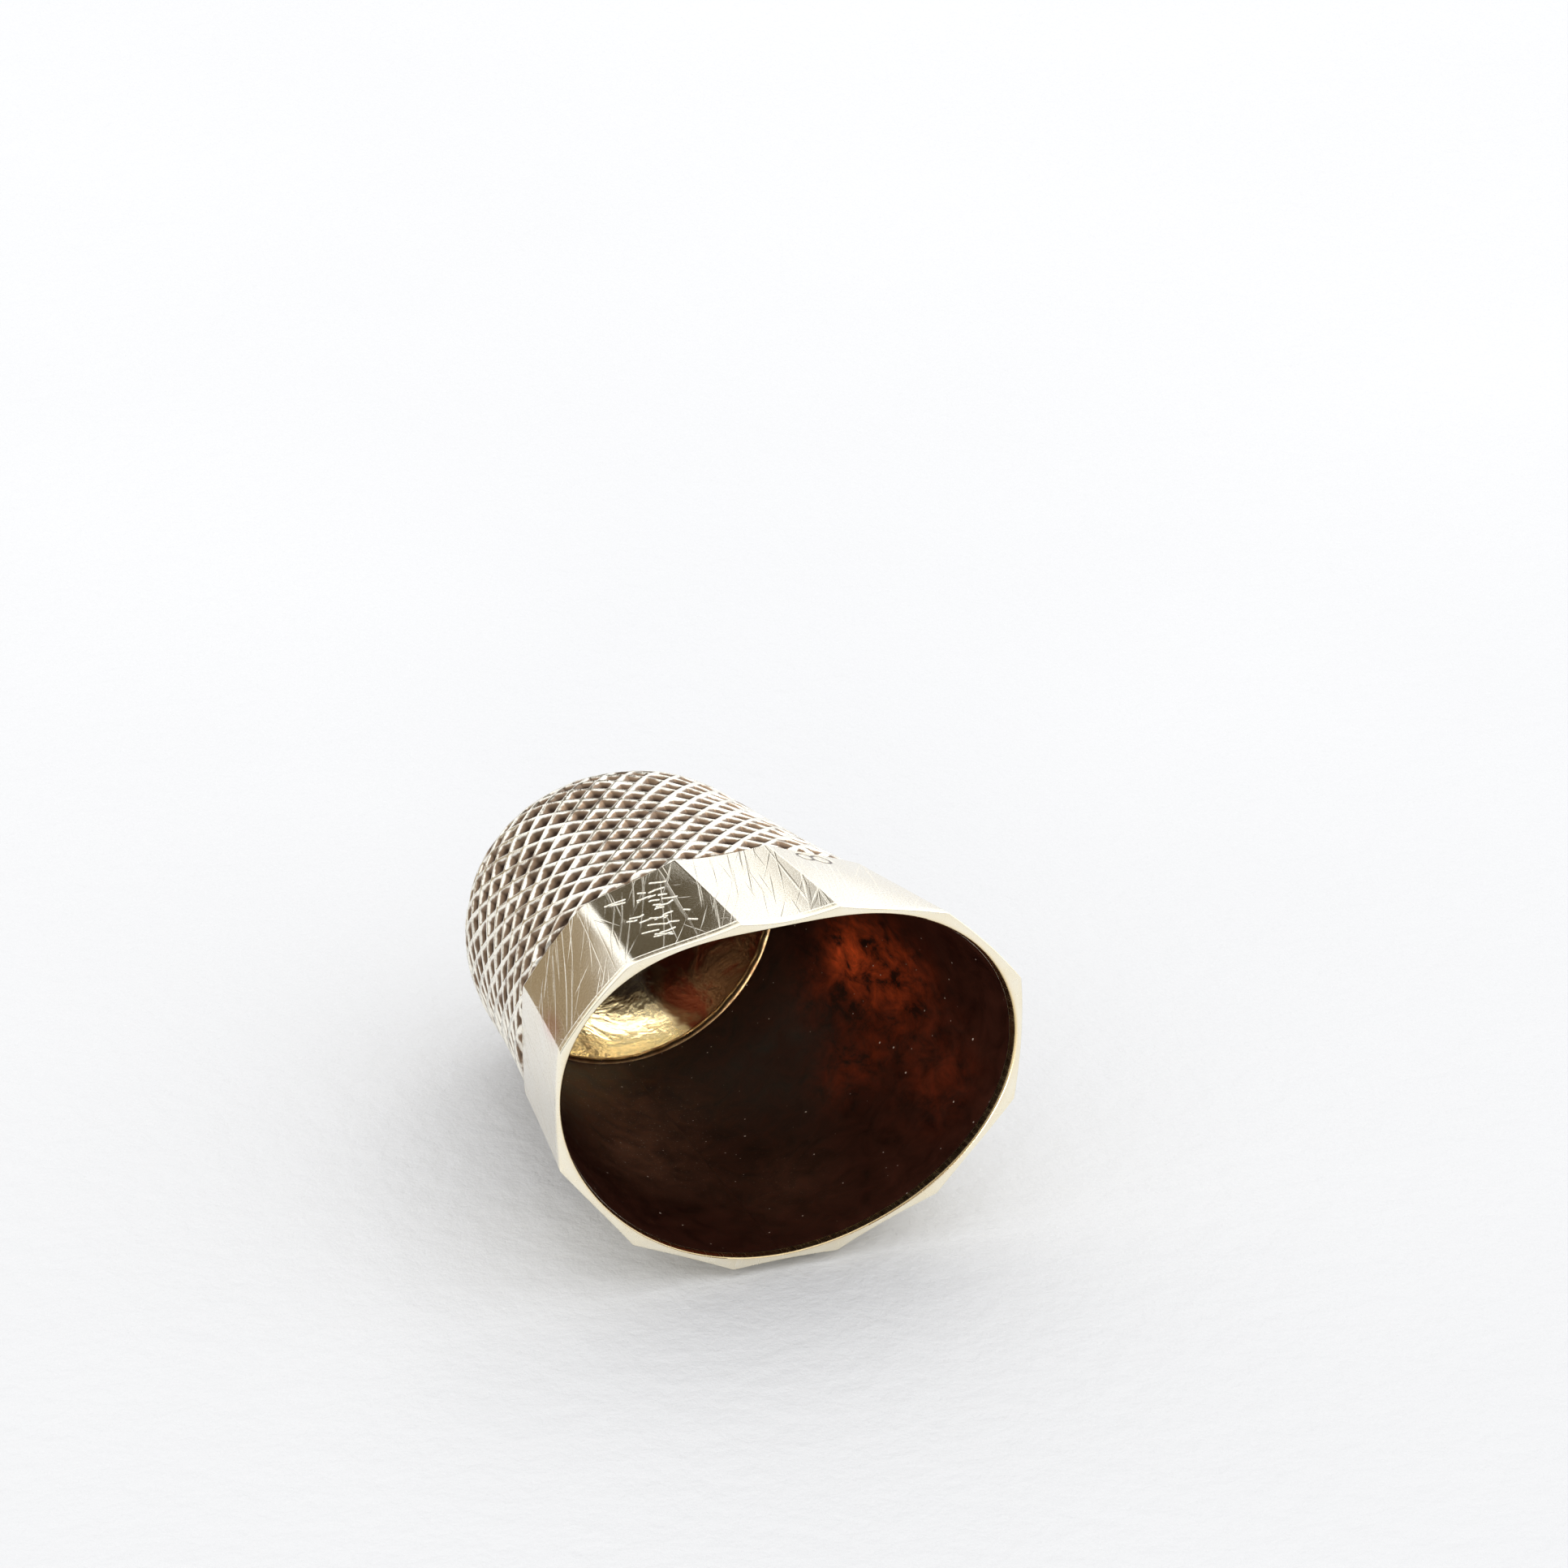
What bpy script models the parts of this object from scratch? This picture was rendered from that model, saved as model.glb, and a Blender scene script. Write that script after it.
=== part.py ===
"""A twelve-sided gold sewing thimble lying on its side, mouth towards -Y and tip towards +Y.

Five soldered pieces: a knurled tapered wall with a plain skirt, a knurled domed cap, a faceted band
round the skirt, a rim ring across the mouth, and a solder fillet inside the cap's seam. They are
modelled standing on the mouth, round, in millimetres. Every point then goes through squash(), because
the mouth is pressed out of round and has a dent, and an empty lays the whole thimble down.
"""
import math

import bmesh
import bpy
from mathutils import Vector

MM = 0.001

# Heights along the axis, from the mouth.
LENGTH = 21.5
SHOULDER_Z = 16.0
DOME_POWER = 2.25
BAND_TOP_Z = 6.93
RIM_THICKNESS = 0.35

# Radii at the mouth's plane. Everything narrows by TAPER for each millimetre of height.
CORNER_RADIUS = 8.6
CREST_RADIUS = 8.445
MOUTH_RADIUS = 8.02
MOUTH_BEVEL = 0.12
TAPER = 0.122
INNER_TAPER = 0.1255

# Metal and solder.
SHEET = 0.45
SKIRT_SHEET = 0.13
SOLDER = 0.03
FILLET_SIZE = 0.16

# Knurl: two crossing families of ridges, which leave rows of diamond pits. Rows of ridge crossings
# stand half a pit apart, and the band's top cuts the pattern between two of them.
PITS_ROUND = 34
PIT_HEIGHT = 1.27
PIT_DEPTH = 0.25
FIRST_CREST = math.radians(3.6)
FIRST_ROW = 0.65
SEAM_ROW = 15.0
PLAIN_TIP_RADIUS = 1.3

# The knurled wall is drawn in a little halfway up.
WAIST = 0.06

# Band: twelve filed facets. Two of the corners were filed a little out of step, and one is trimmed
# closer at the mouth. The two that lie lowest stand proud at the band's top, and the thimble rests on
# them and on its shoulder. A trim is given at the mouth and at the band's top.
FACETS = 12
STEPS_PER_FACET = 6
FIRST_CORNER = math.radians(17.5)
CORNER_SHIFT = {3: math.radians(2.2), 8: math.radians(-2.3)}
CORNER_TRIM = {3: (0.18, 0.0), 0: (0.0, -0.18), 11: (0.0, -0.18)}

# Squash of the mouth, as parts of the radius. Angles are counted from the side that lies lowest.
SQUASH_LENGTH = 29.9
OVAL_SHARE, OVAL_ANGLE = 0.1407, math.radians(94.2)
EGG_SHARE, EGG_ANGLE = 0.032, math.radians(10.8)
DENT_SHARE, DENT_ANGLE, DENT_WIDTH = 0.105, math.radians(162.4), math.radians(43.4)
SLIDE_SHARE = 0.6

# How the thimble lies: its taper rests on the ground, so the tip points down a little.
TIP_DROP = math.radians(5.8)
LAY_TURN = math.radians(-1.64)

GOLD = (0.86, 0.76, 0.53)
KNURL_GOLD = (0.84, 0.73, 0.52)
SOLDER_GOLD = (0.80, 0.62, 0.30)


def squash_at(angle):
    """Radial share and sideways turn of the squash at the mouth, at one angle of the round thimble."""
    oval, egg = 2 * (angle - OVAL_ANGLE), 3 * (angle - EGG_ANGLE)
    across = (angle - DENT_ANGLE + math.pi) % math.tau - math.pi
    half_area = DENT_WIDTH * math.sqrt(math.pi) / 2
    dent_mean = half_area * math.erf(math.pi / DENT_WIDTH) / math.pi
    dent = math.exp(-(across / DENT_WIDTH) ** 2) - dent_mean
    dent_sum = half_area * math.erf(across / DENT_WIDTH) - dent_mean * across
    radial = OVAL_SHARE * math.cos(oval) + EGG_SHARE * math.cos(egg) - DENT_SHARE * dent
    turn = OVAL_SHARE * math.sin(oval) / 2 + EGG_SHARE * math.sin(egg) / 3 - DENT_SHARE * dent_sum
    return radial, -SLIDE_SHARE * turn


def squash(radius, angle, height):
    """Point of the finished thimble, in metres, from a place on the round one, in millimetres."""
    radial, turn = squash_at(angle)
    share = max(0.0, 1 - height / SQUASH_LENGTH) ** 2
    radius *= 1 + radial * share
    angle += turn * share
    return Vector((radius * math.cos(angle), radius * math.sin(angle), height)) * MM


def crest(height):
    """Outer radius over the ridges: a slightly waisted cone, then a dome a little fuller than an ellipse."""
    cone = CREST_RADIUS - TAPER * height
    up_wall = (height - BAND_TOP_Z) / (SHOULDER_Z - BAND_TOP_Z)
    if 0 < up_wall < 1:
        cone -= WAIST * math.sin(math.pi * up_wall)
    rise = max(0.0, height - SHOULDER_Z) / (LENGTH - SHOULDER_Z)
    return cone * max(0.0, 1 - rise ** DOME_POWER) ** (1 / DOME_POWER)


def bore(height):
    """Radius of the finger hollow below the seam."""
    return MOUTH_RADIUS - INNER_TAPER * height


def walk_profile():
    """Samples of the outer profile from the band to the tip: row number, radius, height, normal.

    Over the dome the rows close up with the radius, so the pits keep their shape and only get smaller.
    """
    steps = 4000
    full_radius = crest(SHOULDER_Z)
    samples, travelled = [], 0.0
    old_z, old_r = BAND_TOP_Z, crest(BAND_TOP_Z)
    for step in range(1, steps):
        # The samples crowd towards the tip, where the dome is nearly level.
        z = BAND_TOP_Z + (LENGTH - BAND_TOP_Z) * math.sin(step / steps * math.pi / 2)
        r = crest(z)
        length = math.hypot(z - old_z, r - old_r)
        normal = Vector((z - old_z, old_r - r)) / length
        samples.append((travelled / (PIT_HEIGHT / 2), old_r, old_z, normal))
        travelled += length / min(1.0, r / full_radius)
        old_z, old_r = z, r
        if r < PLAIN_TIP_RADIUS:
            return samples


def row_place(row):
    """Radius, height and normal of one row of the knurl. Rows need not be whole."""
    return next(sample for sample in PROFILE if sample[0] >= row)[1:]


def knurl_loop(row, radial_only=False, lift=0.0):
    """Ring of points along one row: crests, pit bottoms, or places between them where a cut runs."""
    radius, height, normal = row_place(row)
    deepest = PIT_DEPTH * min(1.0, radius / crest(SHOULDER_Z))
    loop = []
    for column in range(2 * PITS_ROUND):
        angle = FIRST_CREST + math.pi * column / PITS_ROUND
        depth = deepest * (1 - abs((row + 1 - FIRST_ROW + column) % 2 - 1))
        drop = 0.0 if radial_only else depth * normal.y
        inward = depth if radial_only else depth * normal.x
        loop.append(squash(radius - inward, angle, height - drop + lift))
    return loop


def round_loop(radius, height, columns=2 * PITS_ROUND):
    """Plain ring of points at the angles of knurl_loop."""
    return [squash(radius, FIRST_CREST + math.tau * column / columns, height)
            for column in range(columns)]


def facet_corners(height):
    """Corners of the twelve-sided outline on the round thimble, as points of the plane."""
    narrowing = 1 - TAPER * height / CREST_RADIUS
    corners = []
    for index in range(FACETS):
        angle = FIRST_CORNER + math.tau * index / FACETS + CORNER_SHIFT.get(index, 0.0)
        mouth_trim, top_trim = CORNER_TRIM.get(index, (0.0, 0.0))
        trim = mouth_trim + (top_trim - mouth_trim) * height / BAND_TOP_Z
        radius = CORNER_RADIUS * narrowing - trim
        corners.append(Vector((radius * math.cos(angle), radius * math.sin(angle))))
    return corners


def facet_loop(height):
    """Ring of points round the twelve-sided outline."""
    corners = facet_corners(height)
    loop = []
    for start, end in zip(corners, corners[1:] + corners[:1]):
        for step in range(STEPS_PER_FACET):
            point = start.lerp(end, step / STEPS_PER_FACET)
            loop.append(squash(point.length, math.atan2(point.y, point.x), height))
    return loop


def band_loop(radius, height):
    """Plain ring of points at the angles of facet_loop."""
    columns = FACETS * STEPS_PER_FACET
    return [squash(radius, FIRST_CORNER + math.tau * column / columns, height)
            for column in range(columns)]


def heights(low, high, count):
    """Evenly spaced heights, both ends among them."""
    return [low + (high - low) * step / count for step in range(count + 1)]


def metal(name, colour, roughness):
    """Plain metallic material."""
    material = bpy.data.materials.new(name)
    material.use_nodes = True
    shader = material.node_tree.nodes["Principled BSDF"]
    shader.inputs["Base Color"].default_value = (*colour, 1.0)
    shader.inputs["Metallic"].default_value = 1.0
    shader.inputs["Roughness"].default_value = roughness
    return material


def skin_quad(bm, a, b, c, d, split_ac):
    """Two triangles over a quad, split along the diagonal that a ridge follows."""
    if split_ac:
        bm.faces.new((a, b, c))
        bm.faces.new((a, c, d))
    else:
        bm.faces.new((a, b, d))
        bm.faces.new((b, c, d))


def piece(name, loops, material, poles=None, first_row=0):
    """Closed solid skinned over loops of equal length, which go up outside and down inside.

    Without poles the last loop joins the first. With poles the first and last loops each close on a
    single point. first_row is the knurl row that the first loop stands for.
    """
    bm = bmesh.new()
    rings = [[bm.verts.new(point) for point in loop] for loop in loops]
    bands = list(zip(rings, rings[1:]))
    if poles is None:
        bands.append((rings[-1], rings[0]))
    count = len(rings[0])
    for number, (lower, upper) in enumerate(bands):
        for i in range(count):
            j = (i + 1) % count
            ridge = (i + number + first_row) % 2 == 0
            skin_quad(bm, lower[i], lower[j], upper[j], upper[i], ridge)
    if poles is not None:
        start, end = (bm.verts.new(point) for point in poles)
        for i in range(count):
            j = (i + 1) % count
            bm.faces.new((start, rings[0][j], rings[0][i]))
            bm.faces.new((rings[-1][i], rings[-1][j], end))
    mesh = bpy.data.meshes.new(name)
    bm.to_mesh(mesh)
    bm.free()
    mesh.shade_smooth()
    mesh.set_sharp_from_angle(angle=math.radians(25))
    mesh.materials.append(material)
    body = bpy.data.objects.new(name, mesh)
    bpy.context.scene.collection.objects.link(body)
    return body


def knurled_wall():
    """Tapered tube: knurled above the band, a thin plain skirt under the band and down to the rim."""
    foot = RIM_THICKNESS + SOLDER
    top = SEAM_Z - SOLDER / 2
    rows = [FIRST_ROW + step for step in range(int(SEAM_ROW))]
    loops = [knurl_loop(row) for row in [0.0] + rows]
    loops.append(knurl_loop(SEAM_ROW, radial_only=True, lift=-SOLDER / 2))
    loops += [round_loop(bore(z), z) for z in reversed(heights(foot, top, 6))]
    loops += [round_loop(bore(z) + SKIRT_SHEET, z) for z in heights(foot, BAND_TOP_Z, 3)]
    return piece("knurled_wall", loops, metal("wall_gold", KNURL_GOLD, 0.3))


def knurled_cap():
    """Domed top, as thick as the sheet, with the knurl closing up towards a small plain tip."""
    rows = [SEAM_ROW + FIRST_ROW + step for step in range(int(PROFILE[-1][0] - SEAM_ROW - FIRST_ROW) + 1)]
    inner = [round_loop(r - SHEET * n.x, z - SHEET * n.y) for r, z, n in map(row_place, rows[1::3])]
    low = SEAM_Z + SOLDER / 2
    loops = list(reversed(inner)) + [round_loop(bore(low), low)]
    loops.append(knurl_loop(SEAM_ROW, radial_only=True, lift=SOLDER / 2))
    first_row = int(SEAM_ROW) - len(inner) - 1
    loops += [knurl_loop(row) for row in rows]
    poles = (squash(0, 0, LENGTH - SHEET), squash(0, 0, LENGTH))
    return piece("knurled_cap", loops, metal("cap_gold", KNURL_GOLD, 0.3), poles, first_row)


def faceted_band():
    """Twelve-sided band soldered round the skirt."""
    levels = heights(RIM_THICKNESS + SOLDER, BAND_TOP_Z - SOLDER, 3)
    clear = SKIRT_SHEET + SOLDER
    loops = [facet_loop(z) for z in levels]
    loops += [band_loop(bore(z) + clear, z) for z in reversed(levels)]
    return piece("faceted_band", loops, metal("band_gold", GOLD, 0.15))


def rim_ring():
    """Flat ring across the ends of skirt and band, round inside and twelve-sided outside."""
    loops = [
        facet_loop(0.0),
        facet_loop(RIM_THICKNESS),
        band_loop(bore(RIM_THICKNESS), RIM_THICKNESS),
        band_loop(bore(MOUTH_BEVEL), MOUTH_BEVEL),
        band_loop(bore(0.0) + MOUTH_BEVEL / 2, 0.0),
    ]
    return piece("rim_ring", loops, metal("rim_gold", GOLD, 0.2))


def seam_fillet():
    """Thin bead of solder round the inside of the seam between wall and cap."""
    low, high = SEAM_Z - 1.5 * FILLET_SIZE, SEAM_Z + FILLET_SIZE
    loops = [
        round_loop(bore(low) - SOLDER, low),
        round_loop(bore(high) - 2 * SOLDER, high),
        round_loop(bore(SEAM_Z) - FILLET_SIZE, SEAM_Z),
    ]
    return piece("seam_fillet", loops, metal("solder", SOLDER_GOLD, 0.35))


def lay_down(pieces):
    """Parent the pieces to an empty that lays them on their side, centred over the origin."""
    lay = bpy.data.objects.new("lay", None)
    bpy.context.scene.collection.objects.link(lay)
    lay.rotation_mode = "ZYX"
    lay.rotation_euler = (-math.pi / 2 - TIP_DROP, 0.0, math.pi / 2 + LAY_TURN)
    turn = lay.rotation_euler.to_matrix()
    for body in pieces:
        body.parent = lay
    points = [turn @ vertex.co for body in pieces for vertex in body.data.vertices]
    low = [min(point[axis] for point in points) for axis in range(3)]
    high = [max(point[axis] for point in points) for axis in range(3)]
    lay.location = (-(low[0] + high[0]) / 2, -(low[1] + high[1]) / 2, -low[2])


for old in list(bpy.data.objects):
    bpy.data.objects.remove(old)
PROFILE = walk_profile()
SEAM_Z = row_place(SEAM_ROW)[1]
lay_down([knurled_wall(), knurled_cap(), faceted_band(), rim_ring(), seam_fillet()])
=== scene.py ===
"""Squashed gold thimble lying on its side on white paper, seen from the front, left and above."""
import math

import bpy
import numpy as np
from mathutils import Euler, Matrix, Vector


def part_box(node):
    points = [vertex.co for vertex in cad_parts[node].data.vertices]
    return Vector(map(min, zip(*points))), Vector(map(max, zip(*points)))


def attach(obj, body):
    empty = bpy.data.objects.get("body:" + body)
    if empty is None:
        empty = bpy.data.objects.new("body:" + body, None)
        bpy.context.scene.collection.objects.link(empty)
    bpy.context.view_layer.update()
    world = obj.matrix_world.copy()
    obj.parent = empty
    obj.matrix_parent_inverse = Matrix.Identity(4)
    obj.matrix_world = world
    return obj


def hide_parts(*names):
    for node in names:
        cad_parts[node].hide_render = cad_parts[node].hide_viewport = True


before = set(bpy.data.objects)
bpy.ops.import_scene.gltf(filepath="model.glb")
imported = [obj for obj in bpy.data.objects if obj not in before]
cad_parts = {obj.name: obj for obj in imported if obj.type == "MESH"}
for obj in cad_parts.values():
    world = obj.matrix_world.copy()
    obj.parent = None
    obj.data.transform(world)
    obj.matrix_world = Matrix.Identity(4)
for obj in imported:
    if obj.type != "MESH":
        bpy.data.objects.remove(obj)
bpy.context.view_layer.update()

MM = 0.001

# Form of the round thimble before it was squashed, in millimetres. Heights are counted along its axis
# from the mouth, and a taper is the radius that is lost in a millimetre. A dome of power 2 is an ellipse.
LENGTH = 21.5
SHOULDER_Z = 16.0
DOME_POWER = 2.25
BAND_TOP_Z = 6.93
RIM_THICKNESS = 0.35
CORNER_RADIUS = 8.6
CREST_RADIUS = 8.445
MOUTH_RADIUS = 8.02
MOUTH_BEVEL = 0.12
TAPER = 0.122
INNER_TAPER = 0.1255
SHEET = 0.45
SKIRT_SHEET = 0.13
SOLDER = 0.03
FILLET_SIZE = 0.16
WAIST = 0.06

# Knurl: pits stand in two crossing families of slanting ridges. Rows are half a pit apart.
PITS_ROUND = 34
PIT_HEIGHT = 1.27
PIT_DEPTH = 0.25
FIRST_CREST = math.radians(3.6)
FIRST_ROW = 0.65
SEAM_ROW = 15.0
PLAIN_TIP_RADIUS = 1.3

# Band: twelve filed facets. CORNER_SHIFT turns a corner along the outline. CORNER_TRIM draws it in, or
# out where it is negative, by one length at the mouth and another at the band's top.
FACETS = 12
FIRST_CORNER = math.radians(17.5)
CORNER_SHIFT = {3: math.radians(2.2), 8: math.radians(-2.3)}
CORNER_TRIM = {3: (0.18, 0.0), 0: (0.0, -0.18), 11: (0.0, -0.18)}

# Squash of the mouth, as parts of the radius. Angles are counted from the side that lies lowest. It would
# die out at SQUASH_LENGTH, beyond the tip. With a SLIDE_SHARE of 1 the metal would slide round so far that
# every facet kept its width.
SQUASH_LENGTH = 29.9
OVAL_SHARE, OVAL_ANGLE = 0.1407, math.radians(94.2)
EGG_SHARE, EGG_ANGLE = 0.032, math.radians(10.8)
DENT_SHARE, DENT_ANGLE, DENT_WIDTH = 0.105, math.radians(162.4), math.radians(43.4)
SLIDE_SHARE = 0.6

# How the thimble lies: its axis drops towards the tip and is turned a little to one side.
TIP_DROP = math.radians(5.8)
LAY_TURN = math.radians(-1.64)

# The fine pits are cut a fifth deeper than the CAD ones, because wear lowers the ridges between them.
FINE_PIT_DEPTH = 1.2 * PIT_DEPTH
# Over this many rows the pits fade out towards the plain tip.
TIP_FADE = 2.0
# At the band's top edge the knurl is cut back to a step inside the facets. The cut opens upwards and is
# coloured a little darker.
FOOT_STEP = 0.08
FOOT_SLOPE = 0.8
FOOT_DARKENING = 0.14
# Radii on which the wall's inside and the cap are unrolled.
WALL_MAP_RADIUS = 7.0
CAP_MAP_RADIUS = 6.0
# Patches of colour inside: degrees round, height and size in millimetres, strength.
RED_PATCHES = ((275, 11.0, 0.9, 1.0), (272, 9.4, 1.9, 0.55), (270, 7.0, 1.5, 0.24), (282, 6.8, 2.2, 0.1),
               (293, 3.3, 1.6, 0.1), (288, 12.0, 1.5, 0.15), (306, 8.2, 1.4, 0.16))
# The dust patches also paint a sheen on the wall inside.
DUST_AND_SHEEN_PATCHES = ((22, 12.0, 3.0, 0.9), (27, 8.0, 2.4, 0.6), (350, 5.0, 2.2, 0.15))
DOME_TARNISH = ((300, 17.4, 3.0, 1.2), (323, 18.2, 2.1, 1.0))

# Half width of each worn corner, in millimetres. Corner 4 is worn widest.
CORNER_WORN = {4: 0.36, 3: 0.07, 5: 0.05}
PLAIN_WORN = 0.045
FACET_WIDTH = 4.4
# What is cut into the band, in millimetres. A facet has the number of the corner that it starts from.
GOUGED_FACET, FIGURE_FACET, STAINED_CORNER = 4, 6, 3
GOUGES, GOUGE_DEPTH, GOUGE_WIDTH = 28, 0.034, 0.055
FIGURE_DEPTH, FIGURE_WIDTH = 0.05, 0.10
# The number's two rings: middle along the facet and up it, half width and half height.
FIGURE_RINGS = ((1.60, 6.16, 0.34, 0.38), (2.34, 6.12, 0.39, 0.44))
# Round the rim's section: height and how far the outline is cut back, from the face to the joint.
FACE_CUT = 0.075
OUTER_PROFILE = ((0.0, FACE_CUT), (0.006, 0.035), (0.03, 0.012), (0.07, 0.0), (0.25, 0.0),
                 (RIM_THICKNESS, 0.0))
# Then down inside: height, how far the bore is opened, and the share of the burrs.
FACE_OPENING, FACE_BURR = MOUTH_BEVEL * 0.55, 0.6
INNER_PROFILE = ((RIM_THICKNESS, 0.0, 0.0), (MOUTH_BEVEL * 1.2, 0.0, 0.3),
                 (MOUTH_BEVEL * 0.6, 0.012, 1.0), (MOUTH_BEVEL * 0.25, MOUTH_BEVEL * 0.25, 1.0),
                 (0.0, FACE_OPENING, FACE_BURR))
# Length round the rim's section, on which its file marks are laid out.
RIM_GIRTH = 2.4

# Sets of scratches on the band: slant in degrees, spacing and length in millimetres, width and cover
# as shares, and a shift that sets each pattern apart.
SCRATCHES = ((20, 0.32, 14.0, 0.060, 0.42, 1.3),
             (32, 0.28, 12.0, 0.060, 0.38, 7.9),
             (8, 0.42, 14.0, 0.055, 0.36, 15.2),
             (-52, 0.36, 4.0, 0.050, 0.26, 23.1),
             (58, 0.40, 5.0, 0.050, 0.26, 31.7),
             (-20, 0.42, 5.0, 0.050, 0.28, 41.9))

# Camera in the row frame. Its sensor and lens are in millimetres, its clipping distances in metres.
CAMERA_AT = Vector((-130.13, -304.53, 186.93)) * MM
CAMERA_AIM = Vector((1.339, -5.460, 17.750)) * MM
CAMERA_ROLL = math.radians(-2.22)
SENSOR_WIDTH, FOCAL_LENGTH = 36.0, 223.6
NEAREST, FARTHEST = 0.01, 20.0

erf = np.vectorize(math.erf)


def squash_at(angle):
    """Radial share and sideways turn of the squash at the mouth, at angles of the round thimble."""
    oval, egg = 2 * (angle - OVAL_ANGLE), 3 * (angle - EGG_ANGLE)
    across = (angle - DENT_ANGLE + math.pi) % math.tau - math.pi
    half_area = DENT_WIDTH * math.sqrt(math.pi) / 2
    dent_mean = half_area * math.erf(math.pi / DENT_WIDTH) / math.pi
    dent = np.exp(-(across / DENT_WIDTH) ** 2) - dent_mean
    dent_sum = half_area * erf(across / DENT_WIDTH) - dent_mean * across
    radial = OVAL_SHARE * np.cos(oval) + EGG_SHARE * np.cos(egg) - DENT_SHARE * dent
    turn = OVAL_SHARE * np.sin(oval) / 2 + EGG_SHARE * np.sin(egg) / 3 - DENT_SHARE * dent_sum
    return radial, -SLIDE_SHARE * turn


def squash(radius, angle, height):
    """Points of the finished thimble, in metres, from places on the round one, in millimetres."""
    radius, angle, height = np.broadcast_arrays(radius, angle, height)
    radial, turn = squash_at(angle)
    share = np.maximum(0.0, 1 - height / SQUASH_LENGTH) ** 2
    radius = radius * (1 + radial * share)
    angle = angle + turn * share
    return np.stack([radius * np.cos(angle), radius * np.sin(angle), height], axis=-1) * MM


def crest(height):
    """Outer radius over the ridges: a waisted cone, then a dome a little fuller than an ellipse."""
    up_wall = np.clip((height - BAND_TOP_Z) / (SHOULDER_Z - BAND_TOP_Z), 0, 1)
    cone = CREST_RADIUS - TAPER * height - WAIST * np.sin(math.pi * up_wall)
    rise = np.maximum(0.0, height - SHOULDER_Z) / (LENGTH - SHOULDER_Z)
    return cone * np.maximum(0.0, 1 - rise ** DOME_POWER) ** (1 / DOME_POWER)


def bore(height):
    """Radius of the finger hollow below the seam."""
    return MOUTH_RADIUS - INNER_TAPER * height


def walk_profile():
    """Row number, radius, height and outward normal along the profile, from the band to the tip."""
    steps = 4000
    z = BAND_TOP_Z + (LENGTH - BAND_TOP_Z) * np.sin(np.arange(steps) / steps * math.pi / 2)
    r = crest(z)
    dz, dr = np.diff(z), np.diff(r)
    length = np.hypot(dz, dr)
    travelled = np.concatenate([[0], np.cumsum(length / np.minimum(1.0, r[1:] / crest(SHOULDER_Z)))])
    rows = travelled[:-1] / (PIT_HEIGHT / 2)
    return rows, r[:-1], z[:-1], dz / length, -dr / length


PROFILE = walk_profile()
LAST_ROW = float(np.interp(-PLAIN_TIP_RADIUS, -PROFILE[1], PROFILE[0]))


def row_place(row):
    """Radius, height and normal at rows of the knurl. Rows need not be whole."""
    return tuple(np.interp(row, PROFILE[0], PROFILE[part]) for part in (1, 2, 3, 4))


SEAM_Z = float(row_place(SEAM_ROW)[1])


def ripple(u, v, seed, size):
    """Gentle unevenness between about -1 and 1 that repeats once round: u turns, v millimetres.

    It is the sum of seven waves at random slants. A larger size makes them longer.
    """
    rng = np.random.default_rng(seed)
    most_turns = int(9 / size) + 1
    total = 0.0
    for _ in range(7):
        turns = rng.integers(-most_turns, most_turns + 1)
        waves = rng.uniform(-1, 1) / size
        total = total + np.sin(math.tau * (turns * u + waves * v * 0.2) + rng.uniform(0, math.tau))
    return total / 4


# ------------------------------------------------------------------ laying the thimble down

# Turn from the round thimble's own axes, with its axis along Z, to the row frame.
TURN = np.array(Euler((-math.pi / 2 - TIP_DROP, 0.0, math.pi / 2 + LAY_TURN), "ZYX").to_matrix())


def facet_corners(height):
    """Corners of the twelve-sided outline on the round thimble: arrays of x and y for each height."""
    height = np.atleast_1d(height)
    xs, ys = [], []
    for index in range(FACETS):
        angle = FIRST_CORNER + math.tau * index / FACETS + CORNER_SHIFT.get(index, 0.0)
        mouth_trim, top_trim = CORNER_TRIM.get(index, (0.0, 0.0))
        trim = mouth_trim + (top_trim - mouth_trim) * height / BAND_TOP_Z
        radius = CORNER_RADIUS * (1 - TAPER * height / CREST_RADIUS) - trim
        xs.append(radius * math.cos(angle))
        ys.append(radius * math.sin(angle))
    return np.stack(xs, -1), np.stack(ys, -1)


def facet_grid(height, place):
    """Radius and angle on the twelve-sided outline. A place is counted in facets from corner 0."""
    xs, ys = facet_corners(height)
    first = np.floor(place).astype(int) % FACETS
    share = place - np.floor(place)
    second = (first + 1) % FACETS
    x = xs[:, first] * (1 - share) + xs[:, second] * share
    y = ys[:, first] * (1 - share) + ys[:, second] * share
    angle = np.arctan2(y, x)
    return np.hypot(x, y), angle


def lay_offset():
    """Where the mouth's centre lies in the row frame, so that this rim falls on the CAD rim."""
    samples = 6
    place = np.arange(FACETS * samples) / samples
    outline = [squash(*facet_grid(z, place), z)[0] for z in (0.0, RIM_THICKNESS)]
    points = np.concatenate(outline) @ TURN.T
    low, high = (np.array(corner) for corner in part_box("rim_ring"))
    return (low + high - points.min(0) - points.max(0)) / 2


OFFSET = lay_offset()


# ------------------------------------------------------------------ meshes

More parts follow.
